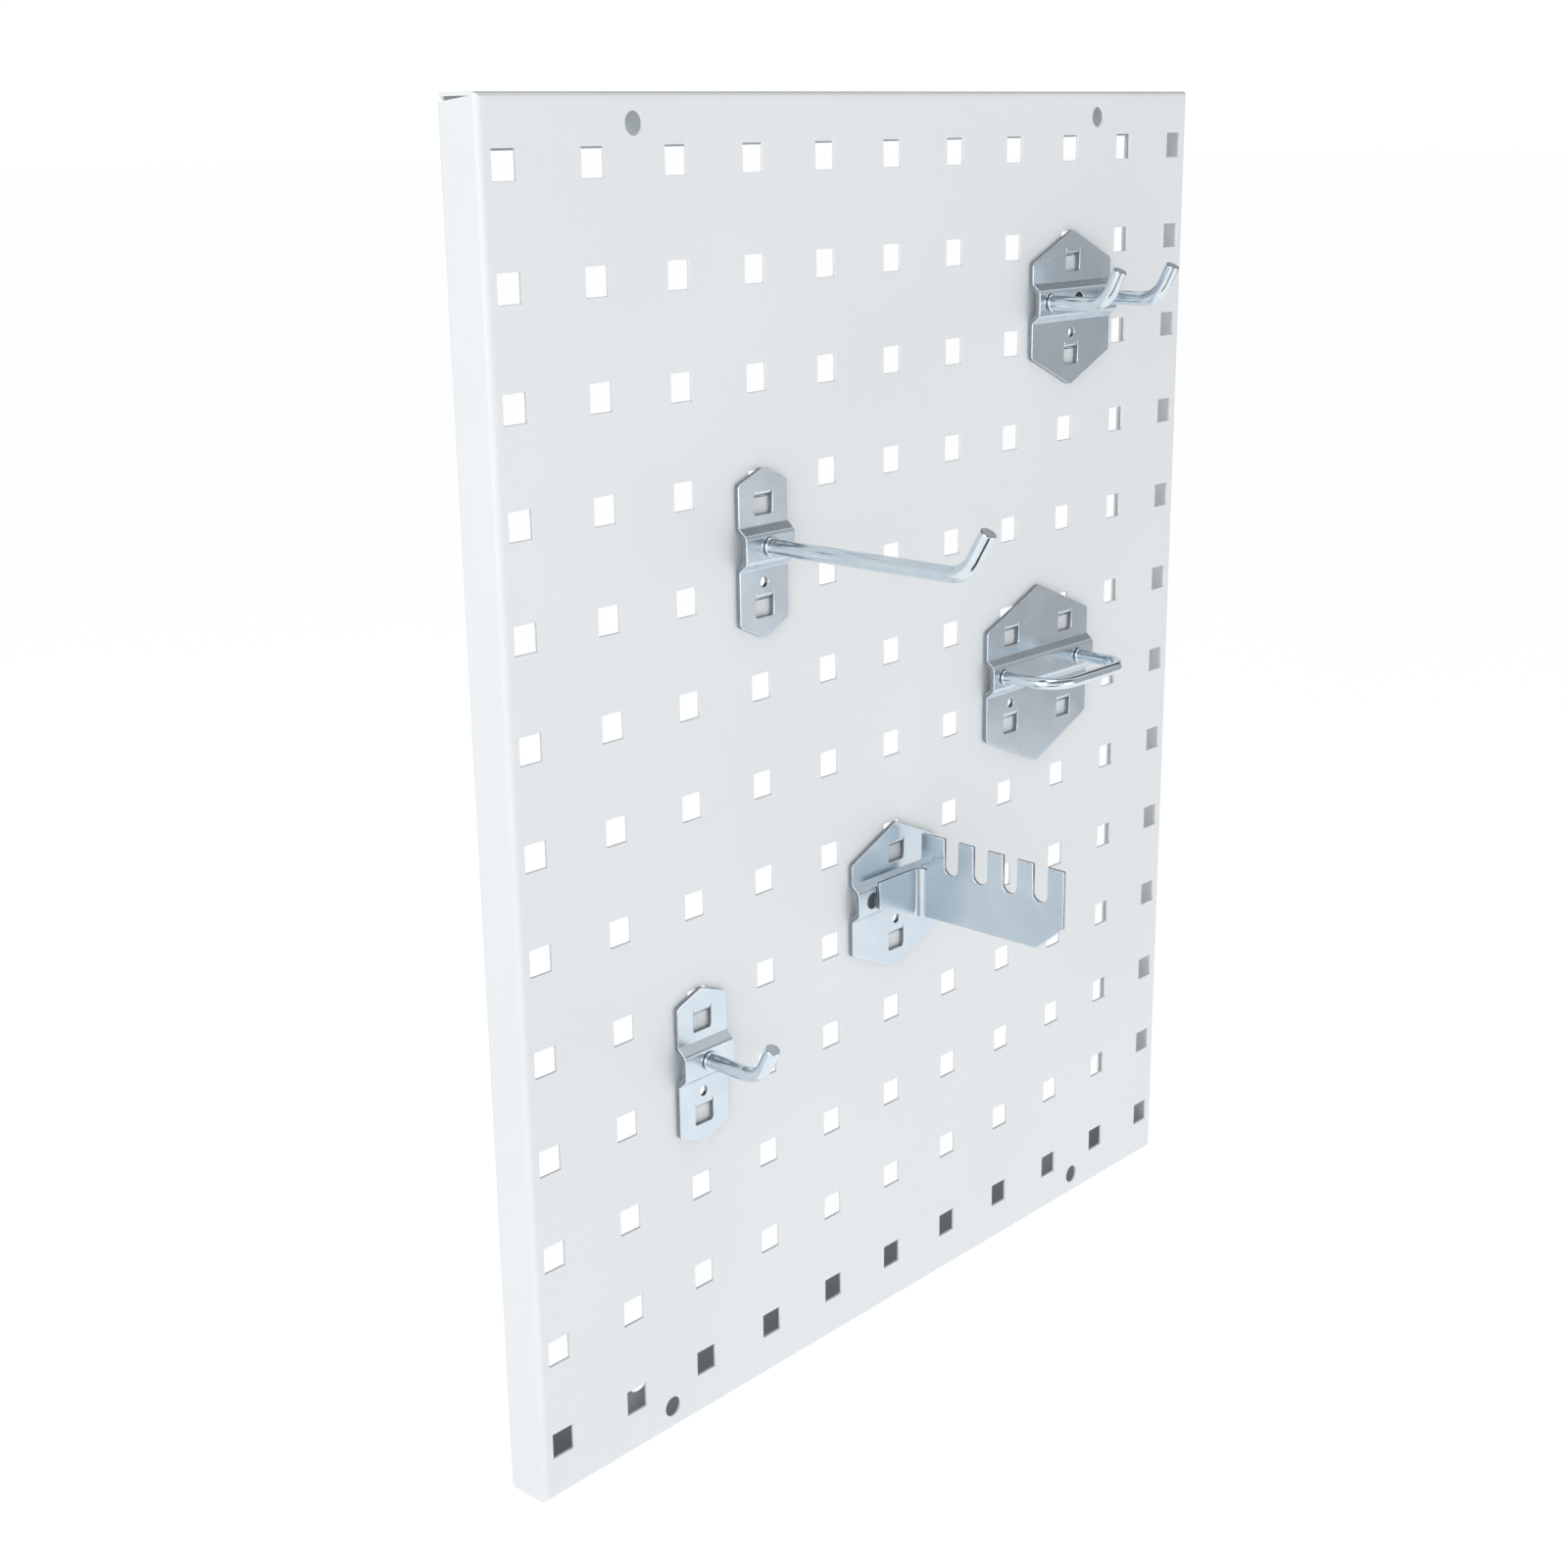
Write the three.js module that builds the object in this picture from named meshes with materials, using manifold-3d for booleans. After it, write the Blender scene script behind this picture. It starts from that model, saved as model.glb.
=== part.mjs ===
// A wall-hung tool board: a folded sheet-steel pan with square holes, and five zinc-plated hooks in them.
// Millimetres, +Z up. The origin is the middle of the board in the wall plane, +X runs to the right and
// +Y into the wall, so the board's face looks along -Y.

import * as THREE from "three";
import { mergeVertices } from "three/addons/utils/BufferGeometryUtils.js";
import Module from "manifold-3d";

const wasm = await Module();
wasm.setup();

// ---- Driving dimensions -------------------------------------------------------------------------

const GAP = 0.3; // clearance between neighbouring pieces
const CUT = 1; // how far a cutting solid reaches past what it cuts
const WELD = 1e-4; // points closer than this are one point

const GRID = { columns: 11, rows: 13, pitch: 38, hole: 10 };
const BOARD = { width: 400, height: 500, depth: 20, sheet: 1.25, bendOutside: 2.5, steps: 4 };
const LIP = { width: 18, setback: 0.7 }; // setback: from a corner's diagonal to each mitred lip end
const CORNER_GAP = { height: 2, front: 3.5 }; // between side and top flange: at the wall, and its end
// The screw holes: their places, and their diameters in the face and in the lips. The bottom lip has open
// notches of that width, whose round ends stand notchFromEdge above the board's lower edge.
const SCREW = {
  fromEdge: 10,
  fromMiddle: 3.5 * GRID.pitch,
  face: 8,
  lip: 11.2,
  notchFromEdge: 14.6,
  sides: 20,
};

const PLATE = { sheet: 2, bend: 1.6, steps: 3, cornerRadius: 1.8 };
const BEAD = { top: -15.3, crownTop: -18.3, crownBottom: -27.4, bottom: -30.4, rise: 3.6 };
const WINDOW = { width: 9.6, height: 9, radius: 1 };
const TAB = { width: 9.2, leg: 3.9, bend: 1.6, root: 1.5 }; // root: its height above the window
const LOCK_HOLE = { z: -36, diameter: 4, sides: 16 };
const ROD_AXIS_Z = -22.6; // height of every rod's axis below the hook's upper board hole

// Plate outlines, as half width and heights above the hook's upper board hole.
const NARROW = { half: 13, apex: 5.9, shoulder: 0.8, hip: -51.3, foot: -57.4 };
const WIDE = { half: 27.4, apex: 5.6, shoulder: -6.8, hip: -45, foot: -57.6 };
const BROAD = { half: 35.7, apex: 12, shoulder: -3.2, hip: -49.9, foot: -65.6 };

// Rods. The head is the diameter of the collar in front of the bead and of the peened tail behind it.
const PRONG = { diameter: 6, head: 8, bend: 12.5, sides: 14 };
const LOOP_ROD = { diameter: 5, head: 7, bend: 12, sides: 14 };
const COLLAR_THICKNESS = 1.2;
const TAIL_THICKNESS = 1.4;
const BEND_STEPS = 6;
const PRONG_SPREAD = GRID.pitch / 2; // from the wide plate's middle to each prong
const LOOP_SPREAD = 26.4; // from the loop's middle to each of its legs
const LOOP_OFFSET = -1.8; // from the broad plate's middle to the loop's middle
const ROD_CLEARANCE = 0.6; // how much wider the bead's holes are than the rods

// How far each prong runs out from the board to the corner of its bend, and its raised tip.
const DOUBLE = { reach: 31.8, tip: 15.5, angle: 64 };
const LONG = { reach: 95.6, tip: 18.5, angle: 60 };
const SHORT = { reach: 31.3, tip: 15.3, angle: 62.5 };
const LOOP_REACH = 32;

// The slotted arm stands out from the board. Its y and z values are places in the hook's own frame.
const ARM = {
  sheet: 1.5,
  left: 8, // x of its face on the foot's side
  bend: 4.5,
  bendSteps: 5,
  overlap: 0.5, // how far the bend runs on into the flat of the arm
  reach: -79.5,
  rear: -8.8,
  top: 0,
  fall: 1.5, // how much lower its top edge is at the outer end
  bottom: -35.7,
  chamferY: 12.5,
  chamferZ: 10.7,
  slots: 4,
  firstSlot: -24.2,
  slotPitch: 14.7,
  slotWidth: 7,
  slotBottom: -15,
  slotSteps: 8,
};
// The foot lies on the bead. Its lower edge slants from lowLeft, at its left end, to the arm's bottom.
const FOOT = { left: -16.8, top: -15, lowLeft: -26.4, slantEnd: 3.4 };

// Each hook's upper board hole. A hook that hangs in two columns of holes stands half way between them.
const PLACE = {
  double: { column: 8, row: 1 },
  long: { column: 3, row: 3 },
  loop: { column: 7.5, row: 5 },
  rack: { column: 5, row: 7 },
  short: { column: 2, row: 8 },
};

const ZINC = { color: 0xcbd8e3, metalness: 0.9, roughness: 0.4 };
const POWDER_COAT = { color: 0xdfe3e6, metalness: 0, roughness: 0.45 };

// ---- Lengths that follow from them --------------------------------------------------------------

const faceY = -BOARD.depth;
const plateMidY = -GAP - PLATE.sheet / 2;
const plateFrontY = -GAP - PLATE.sheet;
const crownFrontY = plateFrontY - BEAD.rise;
const crownBackY = crownFrontY + PLATE.sheet;
const tailBackY = crownBackY + GAP + TAIL_THICKNESS;
const tabUnderside = -GRID.hole / 2 + GAP;
const tabMidZ = tabUnderside + PLATE.sheet / 2;
const windowTop = tabMidZ + TAB.bend;
const legMidY = BOARD.sheet + GAP + PLATE.sheet / 2;

// ---- Solids -------------------------------------------------------------------------------------

function solid(geometry) {
  const bare = geometry.clone();
  bare.deleteAttribute("normal");
  bare.deleteAttribute("uv");
  const merged = mergeVertices(bare, WELD);
  const vertProperties = merged.attributes.position.array;
  const triVerts = new Uint32Array(merged.index.array);
  return new wasm.Manifold(new wasm.Mesh({ numProp: 3, vertProperties, triVerts }));
}

function geometryOf(manifold) {
  const mesh = manifold.getMesh();
  const geometry = new THREE.BufferGeometry();
  geometry.setAttribute("position", new THREE.BufferAttribute(mesh.vertProperties, 3));
  geometry.setIndex(new THREE.BufferAttribute(mesh.triVerts, 1));
  geometry.computeVertexNormals();
  return geometry;
}

function join(solids) {
  return wasm.Manifold.union(solids);
}

function box(x0, x1, y0, y1, z0, z1) {
  const geometry = new THREE.BoxGeometry(x1 - x0, y1 - y0, z1 - z0);
  geometry.translate((x0 + x1) / 2, (y0 + y1) / 2, (z0 + z1) / 2);
  return solid(geometry);
}

// A round bar along Y, between y0 and y1.
function barAlongY(x, z, diameter, y0, y1, sides) {
  const geometry = new THREE.CylinderGeometry(diameter / 2, diameter / 2, y1 - y0, sides);
  geometry.translate(x, (y0 + y1) / 2, z);
  return solid(geometry);
}

function extruded(points, length, basis) {
  const geometry = new THREE.ExtrudeGeometry(new THREE.Shape(points), {
    depth: length,
    bevelEnabled: false,
    curveSegments: 1,
  });
  return solid(geometry.applyMatrix4(basis));
}

// Points are (y, z).
function extrudedAlongX(points, x0, x1) {
  const basis = new THREE.Matrix4().makeBasis(
    new THREE.Vector3(0, 1, 0),
    new THREE.Vector3(0, 0, 1),
    new THREE.Vector3(1, 0, 0),
  );
  return extruded(points, x1 - x0, basis.setPosition(x0, 0, 0));
}

// Points are (x, z).
function extrudedAlongY(points, y0, y1) {
  const basis = new THREE.Matrix4().makeBasis(
    new THREE.Vector3(1, 0, 0),
    new THREE.Vector3(0, 0, 1),
    new THREE.Vector3(0, -1, 0),
  );
  return extruded(points, y1 - y0, basis.setPosition(0, y1, 0));
}

// Points are (x, y).
function extrudedAlongZ(points, z0, z1) {
  return extruded(points, z1 - z0, new THREE.Matrix4().makeTranslation(0, 0, z0));
}

// ---- Outlines -----------------------------------------------------------------------------------

// The arc that rounds a corner: its centre, the direction from the centre to its start, and its turn.
function cornerArc(before, corner, after, radius) {
  const into = corner.clone().sub(before).normalize();
  const out = after.clone().sub(corner).normalize();
  const turn = Math.atan2(into.cross(out), into.dot(out));
  const side = Math.sign(turn);
  const start = corner.clone().addScaledVector(into, -radius * Math.tan(Math.abs(turn) / 2));
  const toStart = new THREE.Vector2(into.y, -into.x).multiplyScalar(side);
  return { centre: start.addScaledVector(toStart, -radius), toStart, turn, side };
}

// The outline of a bent sheet that follows a path along its middle.
function sheetOutline(path, bendRadius, thickness, steps) {
  const corners = path.map(([u, v]) => new THREE.Vector2(u, v));
  const left = [];
  const right = [];
  const addStation = (point, leftward) => {
    left.push(point.clone().addScaledVector(leftward, thickness / 2));
    right.push(point.clone().addScaledVector(leftward, -thickness / 2));
  };
  const endStation = (from, to, point) => {
    const along = to.clone().sub(from).normalize();
    addStation(point, new THREE.Vector2(-along.y, along.x));
  };
  endStation(corners[0], corners[1], corners[0]);
  for (let i = 1; i < corners.length - 1; i++) {
    const arc = cornerArc(corners[i - 1], corners[i], corners[i + 1], bendRadius);
    for (let k = 0; k <= steps; k++) {
      const outward = arc.toStart.clone().rotateAround(new THREE.Vector2(), (arc.turn * k) / steps);
      addStation(arc.centre.clone().addScaledVector(outward, bendRadius), outward.multiplyScalar(-arc.side));
    }
  }
  endStation(corners.at(-2), corners.at(-1), corners.at(-1));
  return [...left, ...right.reverse()];
}

// A closed outline with every corner rounded.
function roundedOutline(path, radius, steps) {
  const corners = path.map(([u, v]) => new THREE.Vector2(u, v));
  const points = [];
  corners.forEach((corner, i) => {
    const arc = cornerArc(corners.at(i - 1), corner, corners[(i + 1) % corners.length], radius);
    for (let k = 0; k <= steps; k++) {
      const outward = arc.toStart.clone().rotateAround(new THREE.Vector2(), (arc.turn * k) / steps);
      points.push(arc.centre.clone().addScaledVector(outward, radius));
    }
  });
  return points;
}

// ---- The board ----------------------------------------------------------------------------------

// The section of the pan across one pair of its flanges, as a path along the middle of the sheet.
function panPath(size) {
  const edge = size / 2 - BOARD.sheet / 2;
  const back = -BOARD.sheet / 2;
  const front = faceY + BOARD.sheet / 2;
  const lipEnd = size / 2 - LIP.width;
  return [
    [-lipEnd, back],
    [-edge, back],
    [-edge, front],
    [edge, front],
    [edge, back],
    [lipEnd, back],
  ];
}

function panOutline(size) {
  return sheetOutline(panPath(size), BOARD.bendOutside - BOARD.sheet / 2, BOARD.sheet, BOARD.steps);
}

// The outside of the pan's section, with the same bends.
function envelope(size) {
  const path = [
    [-size / 2, 0],
    [-size / 2, faceY],
    [size / 2, faceY],
    [size / 2, 0],
  ];
  return roundedOutline(path, BOARD.bendOutside, BOARD.steps);
}

function gridX(column) {
  return (column - (GRID.columns - 1) / 2) * GRID.pitch;
}

function gridZ(row) {
  return ((GRID.rows - 1) / 2 - row) * GRID.pitch;
}

function squareHoles() {
  const half = GRID.hole / 2;
  const holes = [];
  for (let column = 0; column < GRID.columns; column++) {
    for (let row = 0; row < GRID.rows; row++) {
      const x = gridX(column);
      const z = gridZ(row);
      holes.push(box(x - half, x + half, faceY - CUT, faceY + BOARD.sheet + CUT, z - half, z + half));
    }
  }
  return holes;
}

// A screw goes in through the face, and on through a hole in the top lip or a notch in the bottom lip.
function screwHoles() {
  const height = BOARD.height / 2 - SCREW.fromEdge;
  const notchZ = SCREW.notchFromEdge - BOARD.height / 2;
  const half = SCREW.lip / 2;
  const holes = [];
  for (const x of [-SCREW.fromMiddle, SCREW.fromMiddle]) {
    for (const z of [-height, height]) {
      holes.push(barAlongY(x, z, SCREW.face, faceY - CUT, faceY / 2, SCREW.sides));
    }
    for (const z of [notchZ, height]) {
      holes.push(barAlongY(x, z, SCREW.lip, faceY / 2, CUT, SCREW.sides));
    }
    holes.push(box(x - half, x + half, faceY / 2, CUT, notchZ, LIP.width + CUT - BOARD.height / 2));
  }
  return holes;
}

// What is cut away at the four corners of one pair of lips, so that they end along the corners' diagonals.
// Its outline is drawn as distances in from the lips' own edge of the board and from the edge they run to.
function mitres(ofSideLips) {
  const reach = LIP.width + CUT;
  const outline = [
    [-CUT, -CUT],
    [reach, -CUT],
    [reach, reach + LIP.setback],
    [-CUT, LIP.setback - CUT],
  ];
  const cuts = [];
  for (const right of [-1, 1]) {
    for (const up of [-1, 1]) {
      const points = outline.map((distances) => {
        const [fromSide, fromEnd] = ofSideLips ? distances : distances.toReversed();
        return new THREE.Vector2(right * (BOARD.width / 2 - fromSide), up * (BOARD.height / 2 - fromEnd));
      });
      cuts.push(extrudedAlongY(points, -BOARD.bendOutside, CUT));
    }
  }
  return cuts;
}

// The thin wedge that is left open below the top flange at each side flange.
function cornerGap() {
  const top = BOARD.height / 2 - BOARD.sheet;
  const wedge = [
    new THREE.Vector2(faceY + CORNER_GAP.front, top),
    new THREE.Vector2(CUT, top - CORNER_GAP.height),
    new THREE.Vector2(CUT, top + BOARD.bendOutside),
    new THREE.Vector2(faceY + CORNER_GAP.front, top + BOARD.bendOutside),
  ];
  const bend = BOARD.width / 2 - BOARD.bendOutside;
  return join([
    extrudedAlongX(wedge, -BOARD.width, -bend),
    extrudedAlongX(wedge, bend, BOARD.width),
  ]);
}

const swapped = (points) => points.map((point) => new THREE.Vector2(point.y, point.x));

// Two folded channels that cross, one with the side flanges and one with the top and bottom flanges. Each
// is trimmed to the other's outside, so that the flanges meet at the corners, and their lips are mitred.
function boardSolid() {
  const halfWidth = BOARD.width / 2;
  const halfHeight = BOARD.height / 2;
  const sides = extrudedAlongZ(panOutline(BOARD.width), -halfHeight, halfHeight)
    .intersect(extrudedAlongX(swapped(envelope(BOARD.height)), -halfWidth, halfWidth))
    .subtract(join([...mitres(true), cornerGap()]));
  const ends = extrudedAlongX(swapped(panOutline(BOARD.height)), -halfWidth, halfWidth)
    .intersect(extrudedAlongZ(envelope(BOARD.width), -halfHeight, halfHeight))
    .subtract(join(mitres(false)));
  return sides.add(ends).subtract(join([...squareHoles(), ...screwHoles()]));
}

// ---- Hook plates --------------------------------------------------------------------------------
// Every hook is built round its upper board hole: x = 0 and z = 0 at the hole's middle, y = 0 on the
// board's face, -Y towards the room.

// A strip of sheet, a little larger than the outline, with the raised bead pressed across it.
function beadedStrip(outline) {
  const crownMidY = plateMidY - BEAD.rise;
  const path = [
    [plateMidY, outline.apex + CUT],
    [plateMidY, BEAD.top],
    [crownMidY, BEAD.crownTop],
    [crownMidY, BEAD.crownBottom],
    [plateMidY, BEAD.bottom],
    [plateMidY, outline.foot - CUT],
  ];
  const profile = sheetOutline(path, PLATE.bend, PLATE.sheet, PLATE.steps);
  return extrudedAlongX(profile, -outline.half - CUT, outline.half + CUT);
}

function hexagon(outline) {
  return [
    [0, outline.apex],
    [-outline.half, outline.shoulder],
    [-outline.half, outline.hip],
    [0, outline.foot],
    [outline.half, outline.hip],
    [outline.half, outline.shoulder],
  ];
}

function windowOutline(x, top) {
  const half = WINDOW.width / 2;
  const bottom = top - WINDOW.height;
  const path = [
    [x - half, top],
    [x - half, bottom],
    [x + half, bottom],
    [x + half, top],
  ];
  return roundedOutline(path, WINDOW.radius, PLATE.steps);
}

// The tab that is cut from a window, bent back through the board hole and down behind the board.
function tab(x, z) {
  const path = [
    [plateMidY, z + windowTop + TAB.root],
    [plateMidY, z + tabMidZ],
    [legMidY, z + tabMidZ],
    [legMidY, z + tabUnderside - TAB.leg],
  ];
  const profile = sheetOutline(path, TAB.bend, PLATE.sheet, PLATE.steps);
  return extrudedAlongX(profile, x - TAB.width / 2, x + TAB.width / 2);
}

// tabXs are the middles of the board holes that the plate hangs in, and rodXs are the places along the
// bead that are drilled for a rod.
function hookPlate(outline, tabXs, rodXs, rodDiameter) {
  const through = [crownFrontY - CUT, CUT];
  const blank = roundedOutline(hexagon(outline), PLATE.cornerRadius, PLATE.steps);
  const cuts = [barAlongY(tabXs[0], LOCK_HOLE.z, LOCK_HOLE.diameter, ...through, LOCK_HOLE.sides)];
  const tabs = [];
  for (const x of tabXs) {
    for (const z of [0, -GRID.pitch]) {
      cuts.push(extrudedAlongY(windowOutline(x, z + windowTop), ...through));
      tabs.push(tab(x, z));
    }
  }
  for (const x of rodXs) {
    cuts.push(barAlongY(x, ROD_AXIS_Z, rodDiameter + ROD_CLEARANCE, ...through, PRONG.sides));
  }
  const plate = beadedStrip(outline).intersect(extrudedAlongY(blank, ...through));
  return plate.subtract(join(cuts)).add(join(tabs));
}

function narrowHookPlate() {
  return hookPlate(NARROW, [0], [0], PRONG.diameter);
}

function wideHookPlate() {
  return hookPlate(WIDE, [0], [-PRONG_SPREAD, 0, PRONG_SPREAD], PRONG.diameter);
}

// The broad plate hangs in two columns of holes.
function broadHookPlate() {
  const rodXs = [LOOP_OFFSET - LOOP_SPREAD, LOOP_OFFSET + LOOP_SPREAD];
  return hookPlate(BROAD, [-GRID.pitch / 2, GRID.pitch / 2], rodXs, LOOP_ROD.diameter);
}

// ---- Rods ---------------------------------------------------------------------------------------

// A path of straight stretches and round bends that is stepped only where it bends.
class RodPath extends THREE.Curve {
  constructor(corners, bendRadius, steps) {
    super();
    this.stations = [];
    const direction = (a, b) => b.clone().sub(a).normalize();
    this.stations.push({ point: corners[0], tangent: direction(corners[0], corners[1]) });
    for (let i = 1; i < corners.length - 1; i++) {
      this.addBend(corners[i - 1], corners[i], corners[i + 1], bendRadius, steps);
    }
    this.stations.push({ point: corners.at(-1), tangent: direction(corners.at(-2), corners.at(-1)) });
  }

  addBend(before, corner, after, radius, steps) {
    const into = corner.clone().sub(before).normalize();
    const out = after.clone().sub(corner).normalize();
    const turn = into.angleTo(out);
    const start = corner.clone().addScaledVector(into, -radius * Math.tan(turn / 2));
    const inward = out.clone().addScaledVector(into, -out.dot(into)).normalize();
    const centre = start.clone().addScaledVector(inward, radius);
    for (let k = 0; k <= steps; k++) {
      const angle = (turn * k) / steps;
      const point = centre.clone().addScaledVector(inward, -radius * Math.cos(angle));
      point.addScaledVector(into, radius * Math.sin(angle));
      const tangent = into.clone().multiplyScalar(Math.cos(angle)).addScaledVector(inward, Math.sin(angle));
      this.stations.push({ point, tangent });
    }
  }

  between(t, key) {
    const place = Math.min(Math.max(t, 0), 1) * (this.stations.length - 1);
    const i = Math.min(Math.floor(place), this.stations.length - 2);
    return this.stations[i][key].clone().lerp(this.stations[i + 1][key], place - i);
  }

  getPoint(t) {
    return this.between(t, "point");
  }

  getTangent(t) {
    return this.between(t, "tangent").normalize();
  }

  getUtoTmapping(u) {
    return u;
  }
}

function bentRod(corners, rod) {
  const path = new RodPath(corners.map((corner) => new THREE.Vector3(...corner)), rod.bend, BEND_STEPS);
  const section = new THREE.Shape();
  section.absarc(0, 0, rod.diameter / 2, 0, 2 * Math.PI);
  const geometry = new THREE.ExtrudeGeometry(section, {
    extrudePath: path,
    steps: path.stations.length - 1,
    curveSegments: rod.sides,
    bevelEnabled: false,
  });
  return solid(geometry);
}

// What holds a rod in the bead: a collar in front of it and a peened tail behind it.
function rivet(x, rod) {
  const collarBackY = crownFrontY - GAP;
  return [
    barAlongY(x, ROD_AXIS_Z, rod.head, collarBackY - COLLAR_THICKNESS, collarBackY, rod.sides),
    barAlongY(x, ROD_AXIS_Z, rod.head, crownBackY + GAP, tailBackY, rod.sides),
  ];
}

// A rod that runs straight out and then turns up at its end.
function prong(x, { reach, tip, angle }) {
  const rise = THREE.MathUtils.degToRad(angle);
  const corners = [
    [x, tailBackY, ROD_AXIS_Z],
    [x, -reach, ROD_AXIS_Z],
    [x, -reach - tip * Math.cos(rise), ROD_AXIS_Z + tip * Math.sin(rise)],
  ];
  return join([bentRod(corners, PRONG), ...rivet(x, PRONG)]);
}

function loopRod() {
  const left = LOOP_OFFSET - LOOP_SPREAD;
  const right = LOOP_OFFSET + LOOP_SPREAD;
  const corners = [
    [left, tailBackY, ROD_AXIS_Z],
    [left, -LOOP_REACH, ROD_AXIS_Z],
    [right, -LOOP_REACH, ROD_AXIS_Z],
    [right, tailBackY, ROD_AXIS_Z],
  ];
  return join([bentRod(corners, LOOP_ROD), ...rivet(left, LOOP_ROD), ...rivet(right, LOOP_ROD)]);
}

// ---- The slotted arm ----------------------------------------------------------------------------

// How much the arm's top edge has fallen at y.
function armFall(y) {
  return (ARM.fall * (ARM.rear - y)) / (ARM.rear - ARM.reach);
}

// The arm's outline as (y, z): a straight rear edge, a chamfered lower corner and open-topped slots.
function armOutline() {
  const bendEnd = crownFrontY - GAP - ARM.sheet / 2 - ARM.bend;
  const shape = [
    new THREE.Vector2(ARM.rear, ARM.top),
    new THREE.Vector2(ARM.rear, FOOT.top),
    new THREE.Vector2(bendEnd, FOOT.top),
    new THREE.Vector2(bendEnd, ARM.bottom),
    new THREE.Vector2(ARM.reach + ARM.chamferY, ARM.bottom),
    new THREE.Vector2(ARM.reach, ARM.bottom + ARM.chamferZ),
    new THREE.Vector2(ARM.reach, ARM.top - ARM.fall),
  ];
  const radius = ARM.slotWidth / 2;
  for (let slot = ARM.slots - 1; slot >= 0; slot--) {
    const y = ARM.firstSlot - slot * ARM.slotPitch;
    const roundZ = ARM.slotBottom + radius - armFall(y);
    shape.push(new THREE.Vector2(y - radius, ARM.top - armFall(y - radius)));
    for (let k = 0; k <= ARM.slotSteps; k++) {
      const angle = Math.PI + (Math.PI * k) / ARM.slotSteps;
      shape.push(new THREE.Vector2(y + radius * Math.cos(angle), roundZ + radius * Math.sin(angle)));
    }
    shape.push(new THREE.Vector2(y + radius, ARM.top - armFall(y + radius)));
  }
  return shape;
}

// The foot lies on the bead and turns through a round bend into the arm. Its lower edge slants.
function slottedArm() {
  const footMidY = crownFrontY - GAP - ARM.sheet / 2;
  const armMidX = ARM.left + ARM.sheet / 2;
  const bendEnd = footMidY - ARM.bend;
  const path = [
    [FOOT.left, footMidY],
    [armMidX, footMidY],
    [armMidX, bendEnd - ARM.overlap],
  ];
  const section = sheetOutline(path, ARM.bend, ARM.sheet, ARM.bendSteps);
  const foot = extrudedAlongZ(section, ARM.bottom, FOOT.top);
  const slant = [
    new THREE.Vector2(FOOT.left - CUT, FOOT.lowLeft),
    new THREE.Vector2(FOOT.left - CUT, ARM.bottom - CUT),
    new THREE.Vector2(FOOT.slantEnd, ARM.bottom),
  ];
  const arm = extrudedAlongX(armOutline(), ARM.left, ARM.left + ARM.sheet);
  return foot.subtract(extrudedAlongY(slant, bendEnd, 0)).add(arm);
}

// ---- Assembly -----------------------------------------------------------------------------------

const root = new THREE.Group();

function addMesh(parent, name, manifold, look) {
  const mesh = new THREE.Mesh(geometryOf(manifold), new THREE.MeshStandardMaterial(look));
  mesh.name = name;
  parent.add(mesh);
}

function addHook(place, pieces) {
  const hook = new THREE.Group();
  hook.position.set(gridX(place.column), faceY, gridZ(place.row));
  for (const [name, manifold] of Object.entries(pieces)) {
    addMesh(hook, name, manifold, ZINC);
  }
  root.add(hook);
}

addMesh(root, "perforated_board", boardSolid(), POWDER_COAT);

addHook(PLACE.double, {
  double_hook_plate: wideHookPlate(),
  double_hook_left_prong: prong(-PRONG_SPREAD, DOUBLE),
  double_hook_right_prong: prong(PRONG_SPREAD, DOUBLE),
});

addHook(PLACE.long, {
  long_hook_plate: narrowHookPlate(),
  long_hook_prong: prong(0, LONG),
});

addHook(PLACE.loop, {
  loop_holder_plate: broadHookPlate(),
  loop_holder_rod: loopRod(),
});

addHook(PLACE.rack, {
  slot_rack_plate: wideHookPlate(),
  slot_rack_arm: slottedArm(),
});

addHook(PLACE.short, {
  short_hook_plate: narrowHookPlate(),
  short_hook_prong: prong(0, SHORT),
});

export default root;
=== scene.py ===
import math

import bmesh
import bpy
from mathutils import Matrix, Vector
from mathutils.geometry import delaunay_2d_cdt

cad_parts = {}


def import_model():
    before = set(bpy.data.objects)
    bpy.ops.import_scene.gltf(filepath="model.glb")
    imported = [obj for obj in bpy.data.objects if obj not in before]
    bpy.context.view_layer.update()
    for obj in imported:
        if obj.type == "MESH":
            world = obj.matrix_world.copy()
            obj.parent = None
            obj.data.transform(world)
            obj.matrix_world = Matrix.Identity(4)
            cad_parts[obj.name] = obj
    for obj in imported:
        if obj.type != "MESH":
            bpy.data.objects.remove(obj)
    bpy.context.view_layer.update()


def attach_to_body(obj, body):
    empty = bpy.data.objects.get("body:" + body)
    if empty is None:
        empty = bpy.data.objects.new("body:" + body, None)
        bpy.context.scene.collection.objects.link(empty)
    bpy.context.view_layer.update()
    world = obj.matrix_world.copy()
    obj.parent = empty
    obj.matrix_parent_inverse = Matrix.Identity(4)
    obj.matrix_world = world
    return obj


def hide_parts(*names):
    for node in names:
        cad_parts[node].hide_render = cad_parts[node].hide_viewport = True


# A wall-hung tool board: a folded, powder-coated sheet-steel pan with square holes, and five zinc-plated
# hooks in it. Sizes are in millimetres, and become metres where a mesh is made. The origin is the middle
# of the board in the wall plane, +X runs to the right, +Y into the wall and +Z up.

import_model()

# ---- Sizes --------------------------------------------------------------------------------------------

MM = 0.001
GAP = 0.3  # clearance between neighbouring pieces
CUT = 1.0  # how far a cutting solid reaches past what it cuts

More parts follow.
